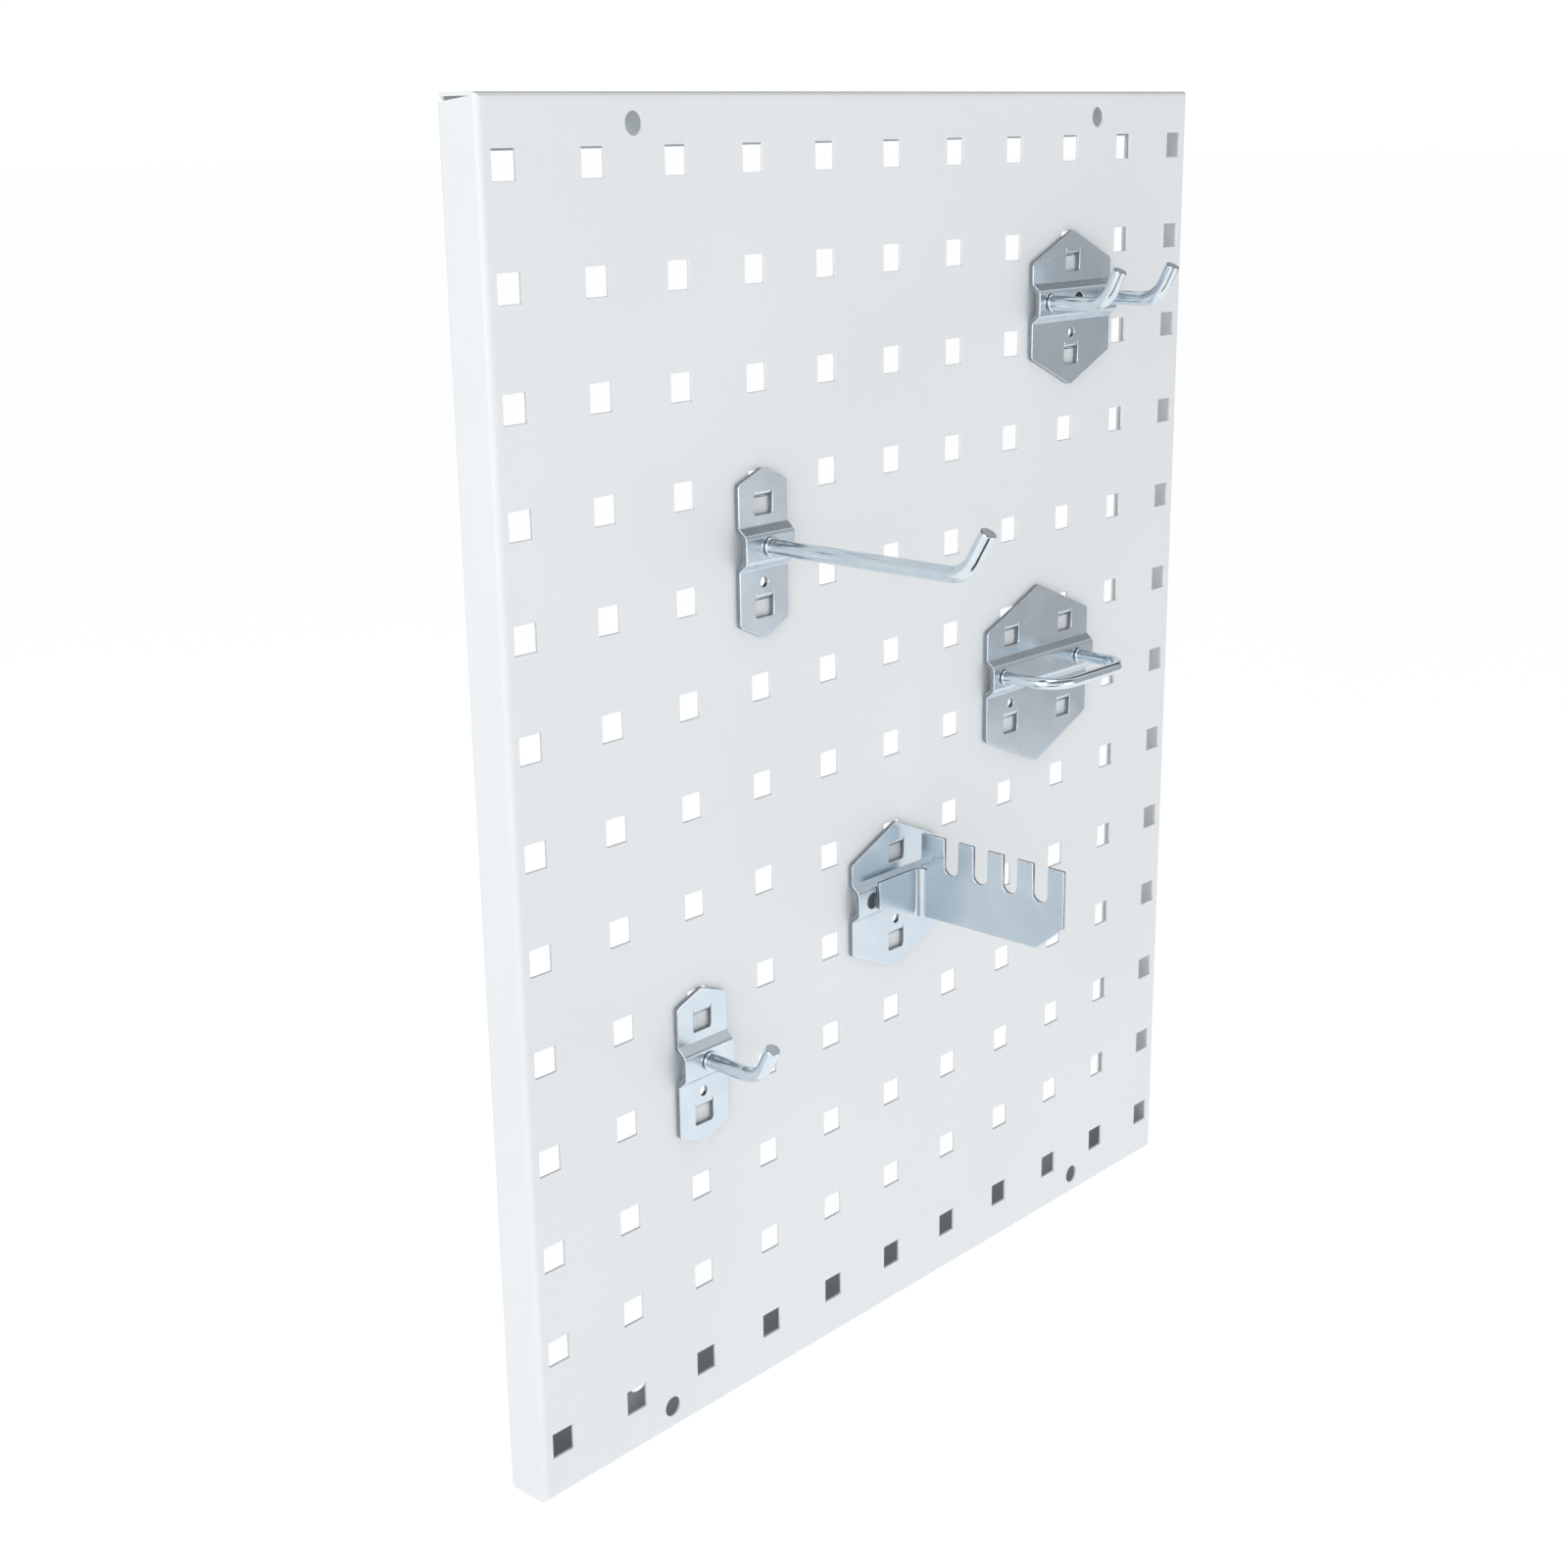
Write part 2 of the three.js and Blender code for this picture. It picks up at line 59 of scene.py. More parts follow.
COLUMNS, ROWS, PITCH, HOLE = 11, 13, 38.0, 10.0
WIDTH, HEIGHT, DEPTH, SHEET, BEND = 400.0, 500.0, 20.0, 1.25, 2.5
LIP, LIP_SETBACK = 18.0, 0.7  # the setback is from a corner's diagonal to each mitred lip end
CORNER_GAP_HEIGHT, CORNER_GAP_FRONT = 2.0, 3.5
SCREW_X, SCREW_FROM_EDGE, SCREW_HOLE, LIP_HOLE, NOTCH_FROM_EDGE = 133.0, 10.0, 8.0, 11.2, 14.6
BOARD_EDGE = 0.3  # radius of the coated edges of the holes
BOARD_BEND_STEPS = 10
BOARD_SMOOTH = 32  # degrees

PLATE, PLATE_BEND, PLATE_CORNER, PLATE_EDGE = 2.0, 1.6, 1.8, 0.24
BEAD = {"top": -15.3, "crown_top": -18.3, "crown_bottom": -27.4, "bottom": -30.4, "rise": 3.6}
WINDOW_WIDTH, WINDOW_HEIGHT, WINDOW_RADIUS = 9.6, 9.0, 1.0
TAB_WIDTH, TAB_LEG, TAB_BEND, TAB_RELIEF = 9.2, 3.9, 1.6, 0.15
TAB_DRAWN = 0.8  # a tab is drawn this much shorter than it is, to lie inside its window
LOCK_Z, LOCK_HOLE = -36.0, 4.0
ROD_Z = -22.6
BEND_STEPS = 8
EDGE_STEPS = 3
CORNER_STEPS = 4
SHEET_HOLE_SIDES, SCREW_HOLE_SIDES = 36, 40
MITRE_LIMIT = 0.3  # keeps the inset of a very sharp corner short
NUDGE = 0.01  # how far in from an outline its rim's direction is measured

NARROW = {"half": 13.0, "apex": 5.9, "shoulder": 0.8, "hip": -51.3, "foot": -57.4}
WIDE = {"half": 27.4, "apex": 5.6, "shoulder": -6.8, "hip": -45.0, "foot": -57.6}
BROAD = {"half": 35.7, "apex": 12.0, "shoulder": -3.2, "hip": -49.9, "foot": -65.6}

PRONG = {"diameter": 6.0, "head": 8.0, "bend": 12.5}
LOOP_ROD = {"diameter": 5.0, "head": 7.0, "bend": 12.0}
COLLAR, TAIL = 1.2, 1.4
COLLAR_EDGE, TAIL_EDGE = 0.4, 0.55
LOOP_SPREAD, LOOP_OFFSET, LOOP_REACH = 26.4, -1.8, 32.0
ROD_CLEARANCE = 0.6
DOUBLE = {"reach": 31.8, "tip": 15.5, "angle": 64.0}
LONG = {"reach": 95.6, "tip": 18.5, "angle": 60.0}
SHORT = {"reach": 31.3, "tip": 15.3, "angle": 62.5}
ROD_SIDES = 48
ROD_BEND_STEPS = 16
ROD_CHAMFER = 0.45
ROD_SUNK = 0.2  # how far inside its tail a rod begins

ARM = {
    "sheet": 1.5, "left": 8.0, "bend": 4.5, "reach": -79.5, "rear": -8.8, "fall": 1.5, "bottom": -35.7,
    "chamfer_y": 12.5, "chamfer_z": 10.7, "slots": 4, "first": -24.2, "pitch": 14.7, "width": 7.0,
    "slot_bottom": -15.0, "slit": 0.2, "edge": 0.22, "corner": 0.6, "chamfer_corner": 1.0,
    "overlap": 0.5, "bend_steps": 12, "slot_steps": 16,
}
FOOT = {"left": -16.8, "top": -15.0, "low_left": -26.4, "slant_end": 3.4}

FACE_Y = -DEPTH
MID_Y = -GAP - PLATE / 2
CROWN_MID_Y = MID_Y - BEAD["rise"]
CROWN_FRONT_Y = CROWN_MID_Y - PLATE / 2
CROWN_BACK_Y = CROWN_MID_Y + PLATE / 2
TAIL_BACK_Y = CROWN_BACK_Y + GAP + TAIL
TAB_UNDER = -HOLE / 2 + GAP
TAB_MID_Z = TAB_UNDER + PLATE / 2
FOLD_Z = TAB_MID_Z + TAB_BEND
LEG_Y = SHEET + GAP + PLATE / 2

RAMP_ENDS = (0.3, 0.7)  # the part of a noise texture's range that its values spread over
FACE_SLOT, RIM_SLOT, WALL_SLOT = 0, 1, 2  # materials of a sheet piece
CAMERA = {
    "right": (0.67374293, -0.7388501, -0.01307647), "up": (0.21811818, 0.1819282, 0.9588152),
    "place": (-0.66718, -0.57391, 0.23974), "lens": 51.382, "sensor": 36.0,
}


# ---- Materials ----------------------------------------------------------------------------------------

def new_material(name):
    material = bpy.data.materials.new(name)
    material.use_nodes = True
    nodes = material.node_tree.nodes
    shader = nodes["Principled BSDF"]
    return material, nodes, material.node_tree.links, shader


def coordinates(nodes, links, stretch=(1, 1, 1)):
    place = nodes.new("ShaderNodeTexCoord")
    mapping = nodes.new("ShaderNodeMapping")
    mapping.inputs["Scale"].default_value = stretch
    links.new(place.outputs["Object"], mapping.inputs["Vector"])
    return mapping.outputs["Vector"]


def noise(nodes, links, vector, scale, detail=3.0, distortion=0.0):
    texture = nodes.new("ShaderNodeTexNoise")
    texture.inputs["Scale"].default_value = scale
    texture.inputs["Detail"].default_value = detail
    texture.inputs["Distortion"].default_value = distortion
    links.new(vector, texture.inputs["Vector"])
    return texture.outputs["Fac"]


def colour_ramp(nodes, links, value, low, high):
    ramp = nodes.new("ShaderNodeValToRGB")
    ramp.color_ramp.elements[0].position = RAMP_ENDS[0]
    ramp.color_ramp.elements[1].position = RAMP_ENDS[1]
    ramp.color_ramp.elements[0].color = (*low, 1)
    ramp.color_ramp.elements[1].color = (*high, 1)
    links.new(value, ramp.inputs["Fac"])
    return ramp.outputs["Color"]


def map_range(nodes, links, value, low, high, ends=RAMP_ENDS):
    node = nodes.new("ShaderNodeMapRange")
    node.inputs["From Min"].default_value = ends[0]
    node.inputs["From Max"].default_value = ends[1]
    node.inputs["To Min"].default_value = low
    node.inputs["To Max"].default_value = high
    links.new(value, node.inputs["Value"])
    return node.outputs["Result"]


def bump(nodes, links, height, distance, strength, normal=None):
    node = nodes.new("ShaderNodeBump")
    node.inputs["Distance"].default_value = distance
    node.inputs["Strength"].default_value = strength
    links.new(height, node.inputs["Height"])
    if normal:
        links.new(normal, node.inputs["Normal"])
    return node.outputs["Normal"]


def powder_coat():
    """Light grey powder coat with its fine orange peel."""
    material, nodes, links, shader = new_material("powder_coat")
    vector = coordinates(nodes, links)
    cloud = noise(nodes, links, vector, 9, 2)
    peel = noise(nodes, links, vector, 950, 2)
    grain = noise(nodes, links, vector, 4200, 2)
    colour = colour_ramp(nodes, links, cloud, (0.722, 0.757, 0.779), (0.746, 0.779, 0.799))
    links.new(colour, shader.inputs["Base Color"])
    links.new(map_range(nodes, links, peel, 0.36, 0.46), shader.inputs["Roughness"])
    normal = bump(nodes, links, peel, 0.00012, 0.16)
    links.new(bump(nodes, links, grain, 0.00003, 0.12, normal), shader.inputs["Normal"])
    shader.inputs["Specular IOR Level"].default_value = 0.45
    return material


def zinc_sheet():
    """Blue-white zinc on rolled sheet: softly clouded, with faint rolling lines."""
    material, nodes, links, shader = new_material("zinc_sheet")
    vector = coordinates(nodes, links)
    cloud = noise(nodes, links, vector, 70, 2, 0.6)
    lines = noise(nodes, links, coordinates(nodes, links, (900, 900, 60)), 1, 3)
    grain = noise(nodes, links, vector, 3000, 2)
    colour = colour_ramp(nodes, links, cloud, (0.615, 0.695, 0.765), (0.665, 0.745, 0.81))
    links.new(colour, shader.inputs["Base Color"])
    links.new(map_range(nodes, links, cloud, 0.25, 0.28), shader.inputs["Roughness"])
    normal = bump(nodes, links, lines, 0.00001, 0.12)
    links.new(bump(nodes, links, grain, 0.00001, 0.08, normal), shader.inputs["Normal"])
    shader.inputs["Metallic"].default_value = 1.0
    return material


def zinc_rim_painted_highlight():
    """The rounded rims of the sheet, coloured brighter than its faces as a painted highlight along each rim.
    """
    material, nodes, links, shader = new_material("zinc_rim_painted_highlight")
    lines = noise(nodes, links, coordinates(nodes, links), 900, 2)
    # Painted highlight: the rims' zinc is coloured brighter than the sheet's, to draw a bright line along
    # each rim.
    colour = colour_ramp(nodes, links, lines, (0.72, 0.78, 0.83), (0.84, 0.88, 0.92))
    links.new(colour, shader.inputs["Base Color"])
    links.new(map_range(nodes, links, lines, 0.2, 0.28), shader.inputs["Roughness"])
    links.new(bump(nodes, links, lines, 0.00001, 0.1), shader.inputs["Normal"])
    shader.inputs["Metallic"].default_value = 1.0
    return material


def zinc_sheared_painted_shade():
    """The sheared walls of the sheet: rough and dull, coloured darker than its faces as painted shade for
    the contact shadow where a plate meets the board.
    """
    material, nodes, links, shader = new_material("zinc_sheared_painted_shade")
    lines = noise(nodes, links, coordinates(nodes, links), 1200, 3)
    # Painted shade: the walls' dark colour stands in for the shadow where the plate's edge meets the board.
    colour = colour_ramp(nodes, links, lines, (0.24, 0.27, 0.30), (0.38, 0.42, 0.46))
    links.new(colour, shader.inputs["Base Color"])
    links.new(map_range(nodes, links, lines, 0.4, 0.55), shader.inputs["Roughness"])
    links.new(bump(nodes, links, lines, 0.00004, 0.3), shader.inputs["Normal"])
    shader.inputs["Metallic"].default_value = 1.0
    return material


def zinc_rod():
    """Bright zinc on drawn rod: glossy, with fine lines along it."""
    material, nodes, links, shader = new_material("zinc_rod")
    lines = noise(nodes, links, coordinates(nodes, links, (1400, 90, 1400)), 1, 3)
    cloud = noise(nodes, links, coordinates(nodes, links), 160, 3, 0.4)
    colour = colour_ramp(nodes, links, cloud, (0.66, 0.73, 0.79), (0.73, 0.80, 0.85))
    links.new(colour, shader.inputs["Base Color"])
    links.new(map_range(nodes, links, cloud, 0.12, 0.19), shader.inputs["Roughness"])
    links.new(bump(nodes, links, lines, 0.00001, 0.15), shader.inputs["Normal"])
    shader.inputs["Metallic"].default_value = 1.0
    return material


def zinc_end():
    """The sawn end of a rod under its zinc: matt, with marks from the saw."""
    material, nodes, links, shader = new_material("zinc_rod_end")
    marks = noise(nodes, links, coordinates(nodes, links, (1, 1, 3)), 700, 3)
    colour = colour_ramp(nodes, links, marks, (0.50, 0.55, 0.60), (0.62, 0.67, 0.71))
    links.new(colour, shader.inputs["Base Color"])
    links.new(map_range(nodes, links, marks, 0.5, 0.65), shader.inputs["Roughness"])
    links.new(bump(nodes, links, marks, 0.00003, 0.3), shader.inputs["Normal"])
    shader.inputs["Metallic"].default_value = 0.6
    return material


COAT = powder_coat()
ZINC = zinc_sheet()
# Rims of the sheet: bright zinc as a painted highlight.
RIM_PAINTED_HIGHLIGHT = zinc_rim_painted_highlight()
# Sheared walls of the sheet: dark zinc as painted shade.
SHEARED_PAINTED_SHADE = zinc_sheared_painted_shade()
ROD = zinc_rod()
ROD_END = zinc_end()


# ---- Mesh helpers -------------------------------------------------------------------------------------

def mesh_object(name, points, faces, materials=(), face_materials=None):
    mesh = bpy.data.meshes.new(name)
    mesh.from_pydata([tuple(c * MM for c in p) for p in points], [], faces)
    for material in materials:
        mesh.materials.append(material)
    if face_materials:
        mesh.polygons.foreach_set("material_index", face_materials)
    mesh.update()
    obj = bpy.data.objects.new(name, mesh)
    bpy.context.scene.collection.objects.link(obj)
    return obj


def outward(obj):
    grid = bmesh.new()
    grid.from_mesh(obj.data)
    bmesh.ops.recalc_face_normals(grid, faces=grid.faces)
    grid.to_mesh(obj.data)
    grid.free()
    return obj


def smooth(obj, degrees=38):
    """Smooth across bends and roundings, and flat on flats."""
    for polygon in obj.data.polygons:
        polygon.use_smooth = True
    obj.data.set_sharp_from_angle(angle=math.radians(degrees))
    modifier = obj.modifiers.new("flats", "WEIGHTED_NORMAL")
    modifier.keep_sharp = True
    modifier.weight = 100
    return obj


def bent_stations(path, radius, steps):
    """Places and left-hand normals along a path whose corners are bent to a radius."""
    corners = [Vector(p) for p in path]
    first = (corners[1] - corners[0]).normalized()
    stations = [(corners[0], Vector((-first.y, first.x)))]
    for before, corner, after in zip(corners, corners[1:], corners[2:]):
        into = (corner - before).normalized()
        out = (after - corner).normalized()
        turn = math.atan2(into.x * out.y - into.y * out.x, into.dot(out))
        side = math.copysign(1, turn)
        left = Vector((-into.y, into.x))
        start = corner - into * radius * math.tan(abs(turn) / 2)
        centre = start + left * side * radius
        for k in range(steps + 1):
            angle = turn * k / steps
            normal = Vector((
                left.x * math.cos(angle) - left.y * math.sin(angle),
                left.x * math.sin(angle) + left.y * math.cos(angle),
            ))
            stations.append((centre - normal * side * radius, normal))
    last = (corners[-1] - corners[-2]).normalized()
    stations.append((corners[-1], Vector((-last.y, last.x))))
    return stations


def sheet_outline(path, radius, thickness, steps):
    stations = bent_stations(path, radius, steps)
    left = [p + n * thickness / 2 for p, n in stations]
    right = [p - n * thickness / 2 for p, n in stations]
    return left + right[::-1]


def rounded(points, steps=CORNER_STEPS):
    """A closed outline of (u, v, radius, tag) corners as (u, v, tag) points."""
    outline = []
    for i, (u, v, radius, tag) in enumerate(points):
        corner = Vector((u, v))
        if radius == 0:
            outline.append((u, v, tag))
            continue
        before = Vector(points[i - 1][:2])
        after = Vector(points[(i + 1) % len(points)][:2])
        path = [corner + (before - corner).normalized() * 2 * radius, corner]
        path.append(corner + (after - corner).normalized() * 2 * radius)
        for point, _ in bent_stations(path, radius, steps)[1:-1]:
            outline.append((point.x, point.y, tag))
    return outline


def circle(u, v, radius):
    """A round hole's outline, clockwise."""
    turns = [-2 * math.pi * k / SHEET_HOLE_SIDES for k in range(SHEET_HOLE_SIDES)]
    return [(u + radius * math.cos(a), v + radius * math.sin(a), None) for a in turns]


# ---- Sheet-metal pieces -------------------------------------------------------------------------------
# A sheet piece is drawn flat, as outlines with the metal on their left, and then bent by its place
# function, which turns (u, v, tag, depth below the front surface) into a point.

def split_outline(outline, lines):
    """Adds a point wherever an outline crosses one of the bend lines (axis, value, tag)."""
    for axis, value, tag in lines:
        points = []
        for i, point in enumerate(outline):
            points.append(point)
            after = outline[(i + 1) % len(outline)]
            low, high = sorted((point[axis], after[axis]))
            tags = {point[2], after[2]}
            if low + 1e-4 < value < high - 1e-4 and (tag in tags):
                share = (value - point[axis]) / (after[axis] - point[axis])
                cut = [point[0] + share * (after[0] - point[0]), point[1] + share * (after[1] - point[1])]
                cut[axis] = value
                points.append((cut[0], cut[1], tag))
        outline = points
    return outline


def inset_outline(outline, distance):
    points = []
    for i, (u, v, tag) in enumerate(outline):
        here = Vector((u, v))
        into = (here - Vector(outline[i - 1][:2])).normalized()
        out = (Vector(outline[(i + 1) % len(outline)][:2]) - here).normalized()
        a = Vector((-into.y, into.x))
        b = Vector((-out.y, out.x))
        middle = (a + b).normalized()
        moved = here + middle * distance / max(middle.dot(a), MITRE_LIMIT)
        points.append((moved.x, moved.y, tag))
    return points


def inside(u, v, outlines):
    """Whether a place lies in the metal: within the outer outline and in no hole."""
    within = False
    for outline in outlines:
        for i, (x1, y1, _) in enumerate(outline):
            x0, y0, _ = outline[i - 1]
            if (y0 > v) != (y1 > v) and u < (x1 - x0) * (v - y0) / (y1 - y0) + x0:
                within = not within
    return within


def bend_edges(outlines, lines):
    """Pairs of outline points that a bend line joins, as indices into all the outlines' points."""
    everything = [point for outline in outlines for point in outline]
    pairs = []
    for axis, value, tag in lines:
        on_line = [i for i, p in enumerate(everything) if abs(p[axis] - value) < 1e-5 and p[2] == tag]
        on_line.sort(key=lambda i: everything[i][1 - axis])
        for a, b in zip(on_line, on_line[1:]):
            u = (everything[a][0] + everything[b][0]) / 2
            v = (everything[a][1] + everything[b][1]) / 2
            if inside(u, v, outlines):
                pairs.append((a, b))
    return pairs


def flat_triangles(outlines, extra_edges):
    coordinates_2d = [Vector(p[:2]) for outline in outlines for p in outline]
    edges = list(extra_edges)
    start = 0
    for outline in outlines:
        count = len(outline)
        edges += [(start + i, start + (i + 1) % count) for i in range(count)]
        start += count
    result = delaunay_2d_cdt(coordinates_2d, edges, [], 0, 1e-6, True)
    points, triangles, sources = result[0], result[2], result[3]
    if len(points) != len(coordinates_2d):
        raise ValueError("a bend line crosses an outline where it has no point")
    back = [source[0] for source in sources]
    kept = []
    for triangle in triangles:
        a, b, c = (points[i] for i in triangle)
        if inside((a.x + b.x + c.x) / 3, (a.y + b.y + c.y) / 3, outlines):
            kept.append([back[i] for i in triangle])
    return kept


def direction(start, end):
    return (Vector(end) - Vector(start)).normalized()


def rim_normals(outlines, leans, place, thickness):
    """Shading normals for every level: square to the sheet on its flats, and leaning outward round a rim."""
    faces, rims = [], []
    for outline in outlines:
        for (u, v, tag), (inner_u, inner_v, _) in zip(outline, inset_outline(outline, NUDGE)):
            faces.append(direction(place(u, v, tag, thickness), place(u, v, tag, 0)))
            rims.append(direction(place(inner_u, inner_v, tag, 0), place(u, v, tag, 0)))
    normals = []
    for lean in leans:
        normals += [face * math.cos(lean) + rim * math.sin(lean) for face, rim in zip(faces, rims)]
    return normals


def edge_levels(thickness, edge):
    """(inset, depth) of the rings that round both rims of a sheet, and how far each ring leans outward."""
    leans = [math.pi / 2 * k / EDGE_STEPS for k in range(EDGE_STEPS + 1)]
    levels = [(edge * (1 - math.sin(lean)), edge * (1 - math.cos(lean))) for lean in leans]
    levels += [(inset, thickness - depth) for inset, depth in reversed(levels)]
    leans += [math.pi - lean for lean in reversed(leans)]
    return levels, leans


def rim_faces(outlines, size, level_count):
    """The faces between neighbouring rings, and the material slot of each."""
    faces, slots = [], []
    for level in range(level_count - 1):
        start = level * size
        for outline in outlines:
            count = len(outline)
            for i in range(count):
                a, b = start + i, start + (i + 1) % count
                faces.append((a, b, b + size, a + size))
                slots.append(WALL_SLOT if level == EDGE_STEPS else RIM_SLOT)
            start += count
    return faces, slots


def sheet_piece(name, outlines, lines, place, thickness, edge):
    outlines = [split_outline(outline, lines) for outline in outlines]
    pairs = bend_edges(outlines, lines)
    levels, leans = edge_levels(thickness, edge)
    points = []
    for inset, depth in levels:
        for outline in outlines:
            points += [place(u, v, tag, depth) for u, v, tag in inset_outline(outline, inset)]
    size = len(points) // len(levels)
    faces, slots = rim_faces(outlines, size, len(levels))
    inner = [inset_outline(outline, edge) for outline in outlines]
    back = size * (len(levels) - 1)
    for a, b, c in flat_triangles(inner, pairs):
        faces += [(a, b, c), (c + back, b + back, a + back)]
        slots += [FACE_SLOT, FACE_SLOT]
    # The rims carry a painted highlight in bright zinc.
    # The sheared walls carry painted shade in dark zinc.
    obj = outward(mesh_object(name, points, faces, (ZINC, RIM_PAINTED_HIGHLIGHT, SHEARED_PAINTED_SHADE), slots))
    for polygon in obj.data.polygons:
        polygon.use_smooth = True
    obj.data.normals_split_custom_set_from_vertices(rim_normals(outlines, leans, place, thickness))
    return obj


def follow(stations, keys, value):
    """The place and normal at a value of the key that runs along the stations."""
    for i in range(len(stations) - 1):
        if keys[i + 1] >= value or i == len(stations) - 2:
            share = (value - keys[i]) / (keys[i + 1] - keys[i])
            (p, n), (q, m) = stations[i], stations[i + 1]
            return p.lerp(q, share), n.lerp(m, share).normalized()


def arc_lengths(stations):
    lengths = [0.0]
    for (p, _), (q, _) in zip(stations, stations[1:]):
        lengths.append(lengths[-1] + (q - p).length)
    return lengths


# ---- The hooks' plates --------------------------------------------------------------------------------

def bead_stations(shape):
    path = [
        (MID_Y, shape["apex"] + CUT), (MID_Y, BEAD["top"]), (CROWN_MID_Y, BEAD["crown_top"]),
        (CROWN_MID_Y, BEAD["crown_bottom"]), (MID_Y, BEAD["bottom"]), (MID_Y, shape["foot"] - CUT),
    ]
    return bent_stations(path, PLATE_BEND, BEND_STEPS)


def tab_stations():
    path = [
        (MID_Y, FOLD_Z + TAB_RELIEF), (MID_Y, TAB_MID_Z), (LEG_Y, TAB_MID_Z), (LEG_Y, TAB_UNDER - TAB_LEG),
    ]
    return bent_stations(path, TAB_BEND, BEND_STEPS)


def window(x, z, tag):
    """The outline of a window with its tab hanging into it from the top, clockwise."""
    half, tab_half = WINDOW_WIDTH / 2, TAB_WIDTH / 2
    top = z + FOLD_Z + TAB_RELIEF
    bottom = z + FOLD_Z - WINDOW_HEIGHT
    end = top - TAB_DRAWN * arc_lengths(tab_stations())[-1]
    return rounded([
        (x - half, bottom, WINDOW_RADIUS, None), (x - half, top, 0, None),
        (x - tab_half, top, 0, None), (x - tab_half, end, 0, tag),
        (x + tab_half, end, 0, tag), (x + tab_half, top, 0, None),
        (x + half, top, 0, None), (x + half, bottom, WINDOW_RADIUS, None),
    ])


def hook_plate(name, origin, shape, tab_xs, rod_xs, rod_diameter):
    half = shape["half"]
    outlines = [rounded([
        (u, v, PLATE_CORNER, None) for u, v in (
            (0, shape["apex"]), (-half, shape["shoulder"]), (-half, shape["hip"]),
            (0, shape["foot"]), (half, shape["hip"]), (half, shape["shoulder"]))
    ])]
    bead = bead_stations(shape)
    bead_keys = [-p.y for p, _ in bead]
    tab = tab_stations()
    tab_keys = [TAB_DRAWN * length for length in arc_lengths(tab)]
    lines = [(1, p.y, None) for p, _ in bead[1:-1]]
    tops = {}
    for x in tab_xs:
        for z in (0, -PITCH):
            tag = len(tops) + 1
            tops[tag] = z
            outlines.append(window(x, z, tag))
            lines += [(1, z + FOLD_Z + TAB_RELIEF - key, tag) for key in tab_keys[1:-1]]
    outlines.append(circle(tab_xs[0], LOCK_Z, LOCK_HOLE / 2))
    for x in rod_xs:
        outlines.append(circle(x, ROD_Z, (rod_diameter + ROD_CLEARANCE) / 2))

    def place(u, v, tag, depth):
        fold = tops[tag] + FOLD_Z + TAB_RELIEF if tag else 0
        if tag and v < fold:
            point, normal = follow(tab, tab_keys, fold - v)
            point = point + normal * (depth - PLATE / 2)
            return origin[0] + u, origin[1] + point.x, origin[2] + tops[tag] + point.y
        point, normal = follow(bead, bead_keys, -v)
        point = point + normal * (depth - PLATE / 2)
        return origin[0] + u, origin[1] + point.x, origin[2] + point.y

    return sheet_piece(name, outlines, lines, place, PLATE, PLATE_EDGE)


# ---- Rods ---------------------------------------------------------------------------------------------

def tube_faces(ring_count):
    """The faces of a closed tube made of rings: its sides, and last its two ends."""
    faces = []
    for i in range(ring_count - 1):
        for k in range(ROD_SIDES):
            a = i * ROD_SIDES + k
            b = i * ROD_SIDES + (k + 1) % ROD_SIDES
            faces.append((a, b, b + ROD_SIDES, a + ROD_SIDES))
    faces.append(tuple(range(ROD_SIDES)))
    faces.append(tuple(ring_count * ROD_SIDES - 1 - k for k in range(ROD_SIDES)))
    return faces


def swept_rod(name, origin, path, to_point, across, rod):
    """A round rod along a flat path, with a rounded far end.

    to_point lifts the path into space, and across is the normal of the path's plane.
    """
    stations = bent_stations(path, rod["bend"], ROD_BEND_STEPS)
    radius = rod["diameter"] / 2
    last = stations[-1]
    run_out = Vector((last[1].y, -last[1].x))
    rings = [(p, n, radius) for p, n in stations[:-1]]
    rings.append((last[0] - run_out * ROD_CHAMFER, last[1], radius))
    for k in range(1, EDGE_STEPS + 1):
        angle = math.pi / 2 * k / EDGE_STEPS
        shift = -ROD_CHAMFER * (1 - math.sin(angle))
        rings.append((last[0] + run_out * shift, last[1], radius - ROD_CHAMFER * (1 - math.cos(angle))))
    zero = Vector(to_point(0, 0))
    points = []
    for place, normal, size in rings:
        centre = Vector(to_point(place.x, place.y))
        sideways = Vector(to_point(normal.x, normal.y)) - zero
        for k in range(ROD_SIDES):
            turn = 2 * math.pi * k / ROD_SIDES
            point = centre + (sideways * math.cos(turn) + across * math.sin(turn)) * size
            points.append(Vector(origin) + point)
    faces = tube_faces(len(rings))
    slots = [0] * (len(faces) - 2) + [1, 1]
    return smooth(outward(mesh_object(name, points, faces, (ROD, ROD_END), slots)))


def turned(name, origin, x, profile):
    """A turned piece on a rod's axis, from (y, radius) pairs."""
    points = []
    for y, radius in profile:
        for k in range(ROD_SIDES):
            turn = 2 * math.pi * k / ROD_SIDES
            points.append((
                origin[0] + x + radius * math.cos(turn), origin[1] + y,
                origin[2] + ROD_Z + radius * math.sin(turn),
            ))
    return smooth(outward(mesh_object(name, points, tube_faces(len(profile)), (ROD,))))


def rounded_disc(front, back, radius, edge):
    """The (y, radius) profile of a disc whose rims are rounded."""
    profile = []
    for k in range(EDGE_STEPS + 1):
        angle = math.pi / 2 * k / EDGE_STEPS
        profile.append((front + edge * (1 - math.cos(angle)), radius - edge * (1 - math.sin(angle))))
    profile += [(back - (y - front), r) for y, r in reversed(profile)]
    return profile


